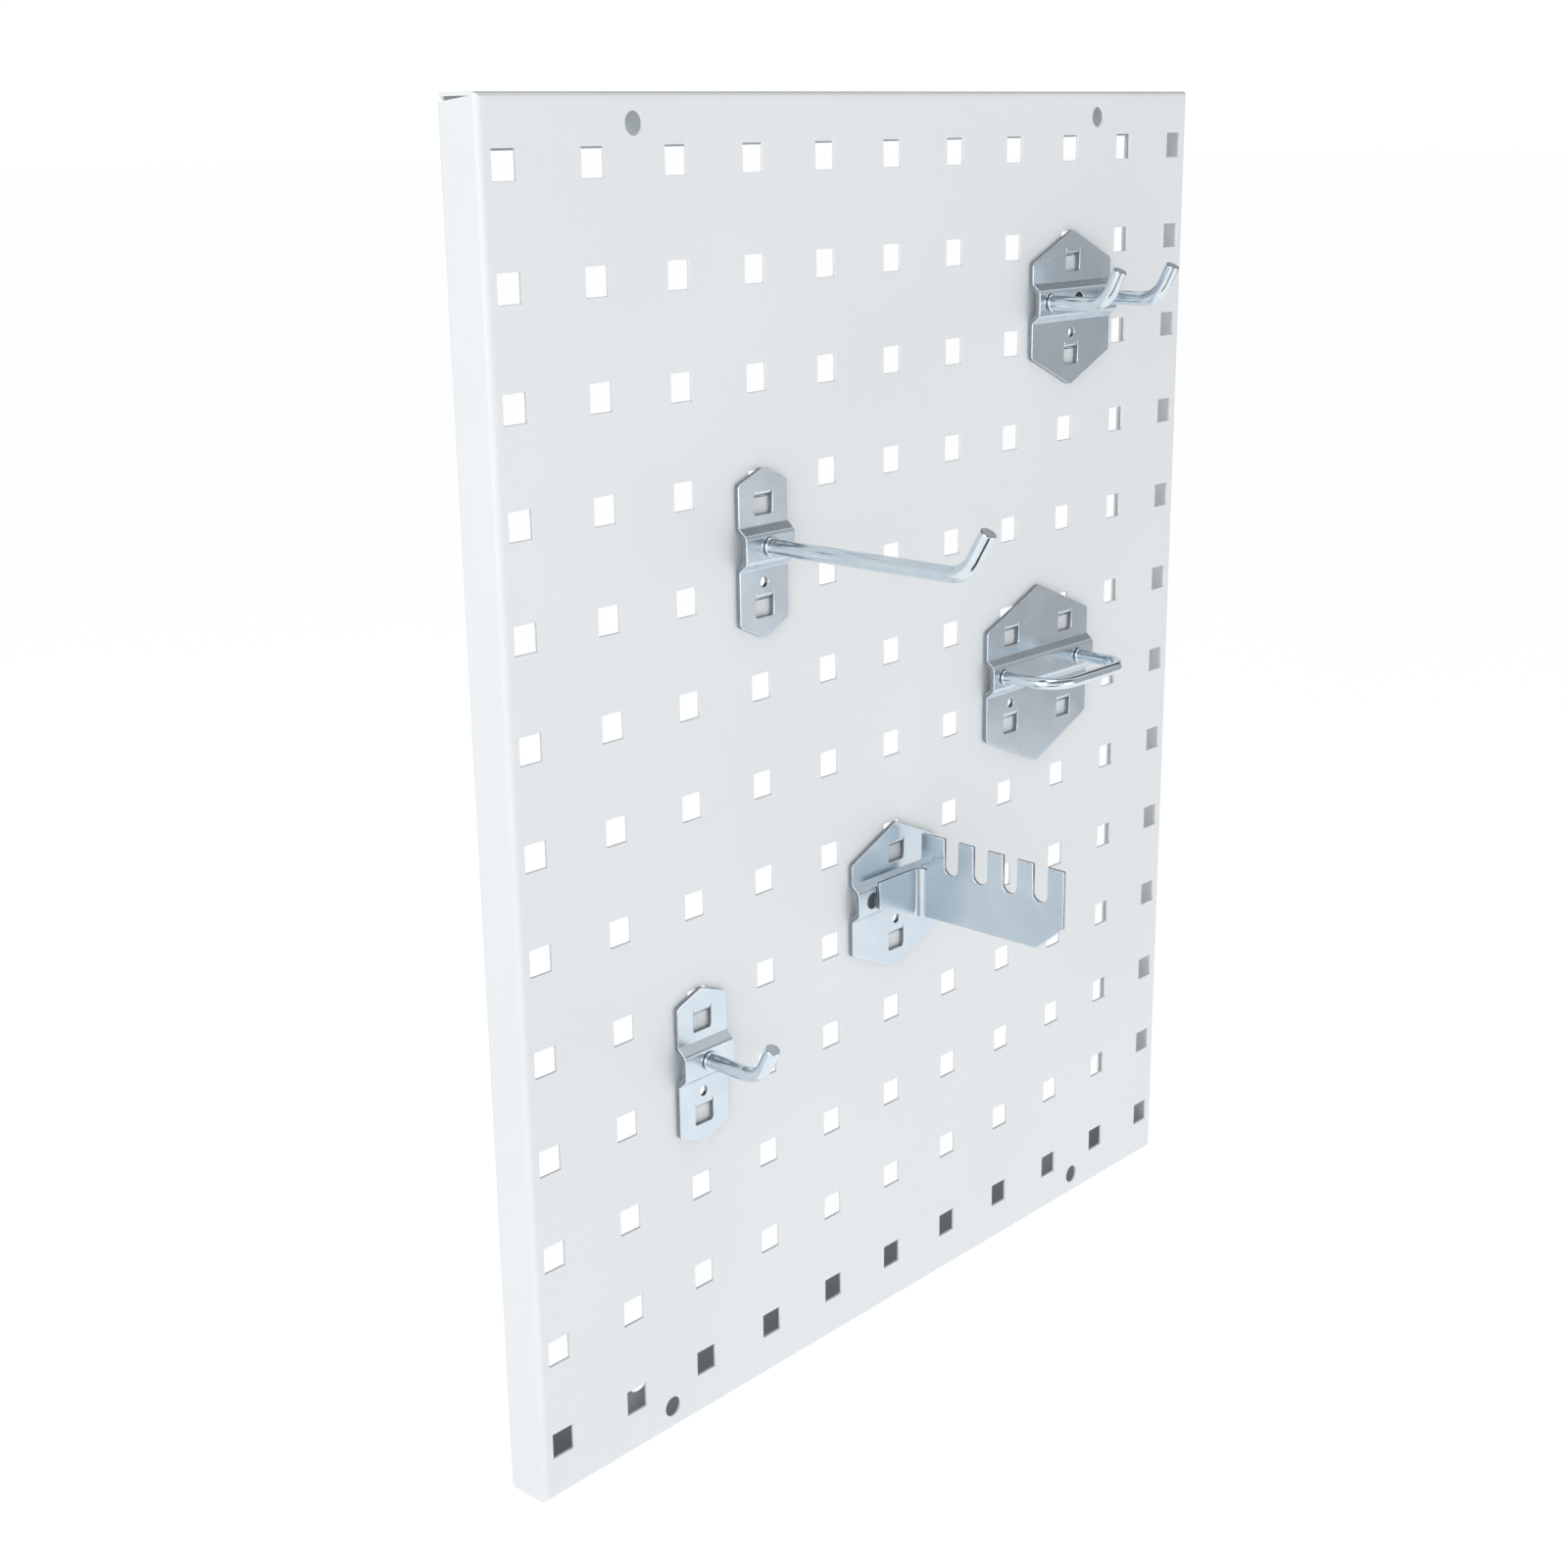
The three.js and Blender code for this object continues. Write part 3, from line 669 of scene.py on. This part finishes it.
def rivet(name, origin, x, rod):
    """A rod's collar in front of the bead and its peened tail behind it."""
    front, radius = CROWN_FRONT_Y - GAP, rod["head"] / 2
    collar_profile = rounded_disc(front - COLLAR, front, radius, COLLAR_EDGE)
    tail_profile = rounded_disc(CROWN_BACK_Y + GAP, TAIL_BACK_Y, radius, TAIL_EDGE)
    return [
        turned(name + "_collar", origin, x, collar_profile),
        turned(name + "_tail", origin, x, tail_profile),
    ]


def prong(name, origin, x, shape):
    rise = math.radians(shape["angle"])
    path = [
        (TAIL_BACK_Y - ROD_SUNK, ROD_Z), (-shape["reach"], ROD_Z),
        (-shape["reach"] - shape["tip"] * math.cos(rise), ROD_Z + shape["tip"] * math.sin(rise)),
    ]
    rod = swept_rod(name + "_rod", origin, path, lambda a, b: (x, a, b), Vector((1, 0, 0)), PRONG)
    return rod, rivet(name, origin, x, PRONG)


def loop_rod(name, origin):
    left, right = LOOP_OFFSET - LOOP_SPREAD, LOOP_OFFSET + LOOP_SPREAD
    start = TAIL_BACK_Y - ROD_SUNK
    path = [(left, start), (left, -LOOP_REACH), (right, -LOOP_REACH), (right, start)]
    rod = swept_rod(name + "_rod", origin, path, lambda a, b: (a, b, ROD_Z), Vector((0, 0, 1)), LOOP_ROD)
    rivets = rivet(name + "_left", origin, left, LOOP_ROD) + rivet(name + "_right", origin, right, LOOP_ROD)
    return rod, rivets


# ---- The slotted arm ----------------------------------------------------------------------------------

def slot_corners(u, top):
    """One open slot's corners, from the outer side inward. top gives the height of the arm's top edge."""
    radius = ARM["width"] / 2
    corners = [(u + radius, top(u + radius), 0, None)]
    for k in range(ARM["slot_steps"] + 1):
        angle = -math.pi * k / ARM["slot_steps"]
        v = top(u) + ARM["slot_bottom"] + radius * (1 + math.sin(angle))
        corners.append((u + radius * math.cos(angle), v, 0, None))
    corners.append((u - radius, top(u - radius), 0, None))
    return corners


def slotted_arm(name, origin):
    mid_y = CROWN_FRONT_Y - GAP - ARM["sheet"] / 2
    mid_x = ARM["left"] + ARM["sheet"] / 2
    bend_end_y = mid_y - ARM["bend"]
    path = [(FOOT["left"], mid_y), (mid_x, mid_y), (mid_x, ARM["reach"])]
    stations = bent_stations(path, ARM["bend"], ARM["bend_steps"])
    keys = [FOOT["left"] + length for length in arc_lengths(stations)]
    bend_end = keys[-2]

    def along(y):
        return bend_end + bend_end_y - y

    def top(u):
        """The height of the top edge, which falls a little towards the outer end."""
        return -ARM["fall"] * (u - along(ARM["rear"])) / (along(ARM["reach"]) - along(ARM["rear"]))

    foot_top = FOOT["top"] - ARM["slit"]
    arm_low = FOOT["top"] + ARM["slit"]
    corners = [
        (FOOT["left"], foot_top, ARM["corner"], 1), (FOOT["left"], FOOT["low_left"], ARM["corner"], 1),
        (FOOT["slant_end"], ARM["bottom"], 0, 1),
        (along(ARM["reach"] + ARM["chamfer_y"]), ARM["bottom"], ARM["chamfer_corner"], None),
        (along(ARM["reach"]), ARM["bottom"] + ARM["chamfer_z"], ARM["chamfer_corner"], None),
        (along(ARM["reach"]), -ARM["fall"], ARM["corner"], None),
    ]
    for slot in reversed(range(ARM["slots"])):
        corners += slot_corners(along(ARM["first"] - slot * ARM["pitch"]), top)
    corners += [
        (along(ARM["rear"]), 0, ARM["corner"], None), (along(ARM["rear"]), arm_low, 0, None),
        (bend_end + ARM["overlap"], arm_low, 0, None), (bend_end + ARM["overlap"], foot_top, 0, None),
    ]
    outline = rounded(corners)
    lines = [(0, key, 1) for key in keys[1:-1]]

    def place(u, v, tag, depth):
        if tag is None and u < bend_end:
            point, normal = Vector((mid_x, bend_end_y + bend_end - u)), Vector((1, 0))
        else:
            point, normal = follow(stations, keys, u)
        point = point + normal * (depth - ARM["sheet"] / 2)
        return origin[0] + point.x, origin[1] + point.y, origin[2] + v

    return sheet_piece(name, [outline], lines, place, ARM["sheet"], ARM["edge"])


# ---- The board ----------------------------------------------------------------------------------------

def prism(name, outline, axis, low, high):
    """A solid with this outline, between two places along an axis."""
    order = {"x": lambda a, b, t: (t, a, b), "y": lambda a, b, t: (a, t, b), "z": lambda a, b, t: (a, b, t)}
    lift = order[axis]
    count = len(outline)
    points = [lift(p[0], p[1], t) for t in (low, high) for p in outline]
    faces = [(i, (i + 1) % count, (i + 1) % count + count, i + count) for i in range(count)]
    faces += [tuple(range(count)), tuple(range(count, 2 * count))]
    return outward(mesh_object(name, points, faces))


def stacked(points, faces, rings):
    """Adds a closed solid made of rings of points to a mesh that is being gathered."""
    count = len(rings[0])
    start = len(points)
    for ring in rings:
        points.extend(ring)
    for i in range(len(rings) - 1):
        for k in range(count):
            a = start + i * count + k
            b = start + i * count + (k + 1) % count
            faces.append((a, b, b + count, a + count))
    faces.append(tuple(start + k for k in range(count)))
    faces.append(tuple(len(points) - 1 - k for k in range(count)))


def flared(front, back, edge):
    """(y, widening) pairs of a punch that leaves rounded edges on a sheet between front and back."""
    steps = []
    for k in range(EDGE_STEPS + 1):
        depth = edge * (1 - math.cos(math.pi / 2 * k / EDGE_STEPS))
        steps.append((depth, edge - math.sqrt(edge * edge - (edge - depth) ** 2)))
    near = [(front + depth, wide) for depth, wide in steps]
    far = [(back - depth, wide) for depth, wide in reversed(steps)]
    return [(front - CUT, edge), *near, *far, (back + CUT, edge)]


def square_punches(points, faces, through_face):
    for column in range(COLUMNS):
        for row in range(ROWS):
            x = (column - (COLUMNS - 1) / 2) * PITCH
            z = ((ROWS - 1) / 2 - row) * PITCH
            rings = []
            for y, wide in through_face:
                h = HOLE / 2 + wide
                rings.append([(x - h, y, z - h), (x + h, y, z - h), (x + h, y, z + h), (x - h, y, z + h)])
            stacked(points, faces, rings)


def ring(x, y, z, radius):
    turns = [2 * math.pi * k / SCREW_HOLE_SIDES for k in range(SCREW_HOLE_SIDES)]
    return [(x + radius * math.cos(a), y, z + radius * math.sin(a)) for a in turns]


def notch_rings(x, through_lip):
    """The rings of an open notch in the bottom lip: round below and straight above."""
    notch = NOTCH_FROM_EDGE - HEIGHT / 2
    rings = []
    for y, wide in through_lip:
        half = LIP_HOLE / 2 + wide
        low = [p for p in ring(x, y, notch, half) if p[2] <= notch + 1e-6]
        low.sort(key=lambda p: p[0])
        rings.append(low + [(x + half, y, notch + LIP_HOLE), (x - half, y, notch + LIP_HOLE)])
    return rings


def screw_punches(points, faces, through_face, through_lip):
    height = HEIGHT / 2 - SCREW_FROM_EDGE
    for x in (-SCREW_X, SCREW_X):
        for z in (-height, height):
            stacked(points, faces, [ring(x, y, z, SCREW_HOLE / 2 + wide) for y, wide in through_face])
        stacked(points, faces, [ring(x, y, height, LIP_HOLE / 2 + wide) for y, wide in through_lip])
        stacked(points, faces, notch_rings(x, through_lip))


def punches(name):
    """All the tools that punch the board: square holes, screw holes, and the lips' holes and notches."""
    points, faces = [], []
    through_face = flared(FACE_Y, FACE_Y + SHEET, BOARD_EDGE)
    through_lip = flared(-SHEET, 0, BOARD_EDGE)
    square_punches(points, faces, through_face)
    screw_punches(points, faces, through_face, through_lip)
    return outward(mesh_object(name, points, faces))


def combine(obj, other, operation):
    modifier = obj.modifiers.new("combine", "BOOLEAN")
    modifier.object = other
    modifier.operation = operation
    modifier.solver = "MANIFOLD"
    bpy.context.view_layer.update()
    graph = bpy.context.evaluated_depsgraph_get()
    result = bpy.data.meshes.new_from_object(obj.evaluated_get(graph))
    obj.modifiers.clear()
    obj.data = result
    bpy.data.objects.remove(other)
    return obj


def pan_outline(size):
    edge = size / 2 - SHEET / 2
    path = [
        (-size / 2 + LIP, -SHEET / 2), (-edge, -SHEET / 2), (-edge, FACE_Y + SHEET / 2),
        (edge, FACE_Y + SHEET / 2), (edge, -SHEET / 2), (size / 2 - LIP, -SHEET / 2),
    ]
    return sheet_outline(path, BEND - SHEET / 2, SHEET, BOARD_BEND_STEPS)


def envelope(size):
    half = size / 2
    corners = [(-half, 0), (-half, FACE_Y), (half, FACE_Y), (half, 0)]
    outline = rounded([(x, y, BEND, None) for x, y in corners], BOARD_BEND_STEPS)
    return [Vector(p[:2]) for p in outline]


def swapped(outline):
    return [Vector((p.y, p.x)) for p in outline]


def mitres(obj, of_side_lips):
    """Ends one pair of lips along the corners' diagonals.

    What is cut away is drawn as distances in from the lips' own edge and from the edge they run to.
    """
    reach = LIP + CUT
    outline = [(-CUT, -CUT), (reach, -CUT), (reach, reach + LIP_SETBACK), (-CUT, LIP_SETBACK - CUT)]
    for right in (-1, 1):
        for up in (-1, 1):
            points = []
            for own, other in outline:
                from_side, from_end = (own, other) if of_side_lips else (other, own)
                points.append(Vector((right * (WIDTH / 2 - from_side), up * (HEIGHT / 2 - from_end))))
            combine(obj, prism("tool", points, "y", -BEND, CUT), "DIFFERENCE")


def corner_gaps(obj):
    """The thin wedge that is left open below the top flange at each side flange."""
    top = HEIGHT / 2 - SHEET
    wedge = [
        Vector((FACE_Y + CORNER_GAP_FRONT, top)), Vector((CUT, top - CORNER_GAP_HEIGHT)),
        Vector((CUT, top + BEND)), Vector((FACE_Y + CORNER_GAP_FRONT, top + BEND)),
    ]
    bend = WIDTH / 2 - BEND
    combine(obj, prism("tool", wedge, "x", -WIDTH, -bend), "DIFFERENCE")
    combine(obj, prism("tool", wedge, "x", bend, WIDTH), "DIFFERENCE")


def board():
    half_width, half_height = WIDTH / 2, HEIGHT / 2
    sides = prism("board_panel", pan_outline(WIDTH), "z", -half_height, half_height)
    combine(sides, prism("tool", swapped(envelope(HEIGHT)), "x", -half_width, half_width), "INTERSECT")
    mitres(sides, True)
    corner_gaps(sides)
    ends = prism("ends", swapped(pan_outline(HEIGHT)), "x", -half_width, half_width)
    combine(ends, prism("tool", envelope(WIDTH), "z", -half_height, half_height), "INTERSECT")
    mitres(ends, False)
    combine(sides, ends, "UNION")
    combine(sides, punches("tool"), "DIFFERENCE")
    sides.data.materials.clear()
    sides.data.materials.append(COAT)
    return smooth(sides, BOARD_SMOOTH)


# ---- Assembly -----------------------------------------------------------------------------------------

def at(column, row):
    return ((column - (COLUMNS - 1) / 2) * PITCH, FACE_Y, ((ROWS - 1) / 2 - row) * PITCH)


def attach(piece, body, node=None):
    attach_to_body(piece, body)
    if node:
        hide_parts(node)


def attach_rod(rod, rivets, body, node):
    attach(rod, body, node)
    for piece in rivets:
        attach(piece, body)


def build_hooks():
    place = at(8, 1)
    spread = PITCH / 2
    plate = hook_plate("double_hook_sheet", place, WIDE, [0], [-spread, 0, spread], PRONG["diameter"])
    attach(plate, "double_hook", "double_hook_plate")
    for side, x in (("left", -spread), ("right", spread)):
        name = f"double_hook_{side}"
        attach_rod(*prong(name, place, x, DOUBLE), "double_hook", f"{name}_prong")

    for name, place, shape in (("long_hook", at(3, 3), LONG), ("short_hook", at(2, 8), SHORT)):
        plate = hook_plate(f"{name}_sheet", place, NARROW, [0], [0], PRONG["diameter"])
        attach(plate, name, f"{name}_plate")
        attach_rod(*prong(name, place, 0, shape), name, f"{name}_prong")

    place = at(7.5, 5)
    rods = [LOOP_OFFSET - LOOP_SPREAD, LOOP_OFFSET + LOOP_SPREAD]
    columns = [-PITCH / 2, PITCH / 2]
    plate = hook_plate("loop_holder_sheet", place, BROAD, columns, rods, LOOP_ROD["diameter"])
    attach(plate, "loop_holder", "loop_holder_plate")
    attach_rod(*loop_rod("loop_holder", place), "loop_holder", "loop_holder_rod")

    place = at(5, 7)
    plate = hook_plate("slot_rack_sheet", place, WIDE, [0], [-spread, 0, spread], PRONG["diameter"])
    attach(plate, "slot_rack", "slot_rack_plate")
    attach(slotted_arm("slot_rack_blade", place), "slot_rack", "slot_rack_arm")


# ---- Studio -------------------------------------------------------------------------------------------

def floor():
    reach, z = 30000.0, -HEIGHT / 2 - 1.0
    points = [(-reach, -reach, z), (reach, -reach, z), (reach, reach, z), (-reach, reach, z)]
    obj = mesh_object("floor", points, [(0, 1, 2, 3)])
    material, _, _, shader = new_material("pale_floor")
    shader.inputs["Base Color"].default_value = (0.3, 0.3, 0.3, 1)
    shader.inputs["Roughness"].default_value = 0.9
    shader.inputs["Emission Color"].default_value = (1, 1, 1, 1)
    shader.inputs["Emission Strength"].default_value = 0.88
    obj.data.materials.append(material)


def world():
    """White at the horizon. Above, a bright band stands in front of the board, and it is dim behind it."""
    made = bpy.data.worlds.new("studio")
    made.use_nodes = True
    bpy.context.scene.world = made
    nodes, links = made.node_tree.nodes, made.node_tree.links
    direction = nodes.new("ShaderNodeTexCoord").outputs["Generated"]
    split = nodes.new("ShaderNodeSeparateXYZ")
    links.new(direction, split.inputs["Vector"])
    front = map_range(nodes, links, split.outputs["Y"], 0.24, 0.9, (-0.56, -0.36))
    band = map_range(nodes, links, split.outputs["Y"], 1.0, 0.05, (-0.27, -0.08))
    above = nodes.new("ShaderNodeMath")
    above.operation = "MULTIPLY"
    links.new(front, above.inputs[0])
    links.new(band, above.inputs[1])
    height = map_range(nodes, links, split.outputs["Z"], 0.0, 1.0, (0.08, 0.4))
    blend = nodes.new("ShaderNodeMix")
    links.new(height, blend.inputs["Factor"])
    blend.inputs["A"].default_value = 1.03
    links.new(above.outputs["Value"], blend.inputs["B"])
    links.new(blend.outputs["Result"], nodes["Background"].inputs["Strength"])
    nodes["Background"].inputs["Color"].default_value = (1, 1, 1, 1)


def softbox(name, place, target, size, power):
    light = bpy.data.lights.new(name, "AREA")
    light.shape = "SQUARE"
    light.size = size
    light.energy = power
    obj = bpy.data.objects.new(name, light)
    obj.location = place
    obj.rotation_euler = (Vector(target) - Vector(place)).to_track_quat("-Z", "Y").to_euler()
    bpy.context.scene.collection.objects.link(obj)


def card(name, corners, grey):
    """A flat card that shows only in glossy reflections."""
    obj = mesh_object(name, corners, [(0, 1, 2, 3)])
    material, _, _, shader = new_material(name)
    shader.inputs["Base Color"].default_value = (grey, grey, grey, 1)
    shader.inputs["Roughness"].default_value = 0.9
    obj.data.materials.append(material)
    obj.visible_camera = False
    obj.visible_diffuse = False
    obj.visible_shadow = False


def reflected_cards():
    """A grey card at the right darkens the plates, and a black one on the floor lines the rods' tips."""
    low, high = -240.0, 420.0
    near, far = (520.0, -640.0), (1100.0, -60.0)
    card("side_card", [(*near, low), (*far, low), (*far, high), (*near, high)], 0.53)
    left, right, front, back, z = -320.0, -130.0, -800.0, -200.0, -HEIGHT / 2 + 5
    card("floor_card", [(left, front, z), (right, front, z), (right, back, z), (left, back, z)], 0.02)


def camera():
    right, up = Vector(CAMERA["right"]), Vector(CAMERA["up"])
    back = right.cross(up)
    data = bpy.data.cameras.new("camera")
    data.lens = CAMERA["lens"]
    data.sensor_width = CAMERA["sensor"]
    obj = bpy.data.objects.new("camera", data)
    turn = Matrix((right, up, back)).transposed().to_4x4()
    obj.matrix_world = Matrix.Translation(CAMERA["place"]) @ turn
    bpy.context.scene.collection.objects.link(obj)
    bpy.context.scene.camera = obj


camera()
panel = board()
attach(panel, "board", "perforated_board")
build_hooks()
floor()
world()
reflected_cards()
softbox("key", (-2.0, -0.35, 0.5), (0, 0, 0), 1.2, 16)
softbox("overhead", (-0.1, -0.3, 1.5), (0, 0, 0.2), 0.5, 2.5)
softbox("fill", (0.3, -1.1, -0.1), (0, 0, -0.25), 0.5, 2.2)
bpy.context.scene.view_settings.view_transform = "Standard"
